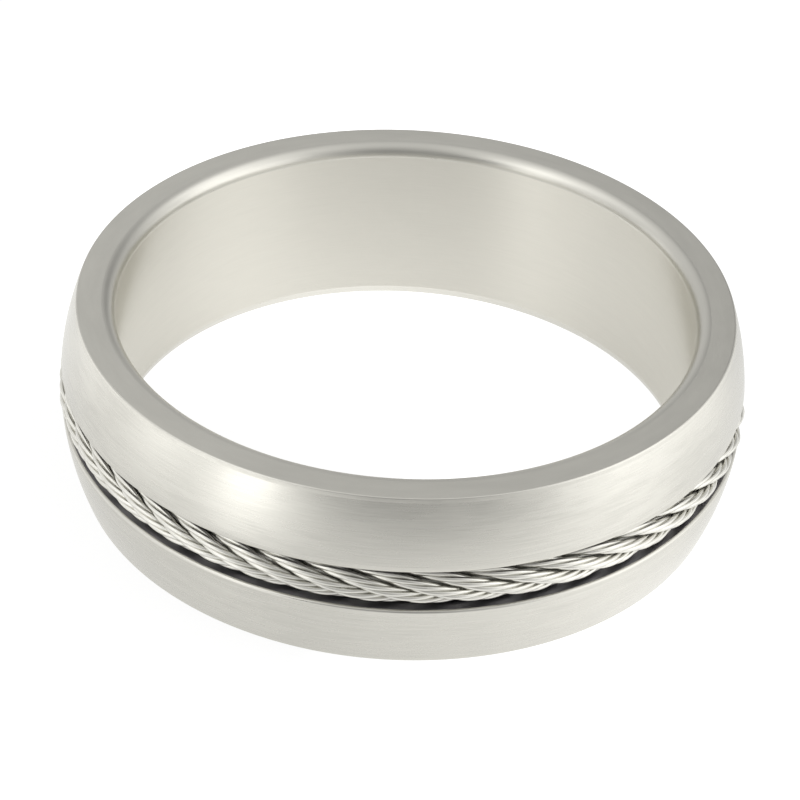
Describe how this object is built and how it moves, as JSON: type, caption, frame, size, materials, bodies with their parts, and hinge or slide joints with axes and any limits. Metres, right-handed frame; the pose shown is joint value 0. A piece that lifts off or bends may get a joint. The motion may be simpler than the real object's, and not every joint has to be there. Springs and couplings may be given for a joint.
{
  "type": "rope twist ring",
  "caption": "Finger ring: a domed steel band with a twisted wire cable laid in a groove round its middle, flat edge faces and a rounded bore.",
  "frame": {"origin": "the middle of the ring's underside: on the ring's axis, in the plane of the edge face that it rests on", "axes": "+Z along the ring's axis, away from the face it rests on; the ring is round about Z, and -Y faces the picture's camera"},
  "size_m": [0.0238, 0.0238, 0.0066],
  "materials": {
    "satin_steel": "satin, finely brushed round the band",
    "bright_wire": "bright drawn wire"
  },
  "bodies": {
    "root": {"band": "satin_steel", "cable_core": "bright_wire", "strand_1": "bright_wire", "strand_2": "bright_wire", "strand_3": "bright_wire", "strand_4": "bright_wire", "strand_5": "bright_wire", "strand_6": "bright_wire"}
  },
  "joints": []
}
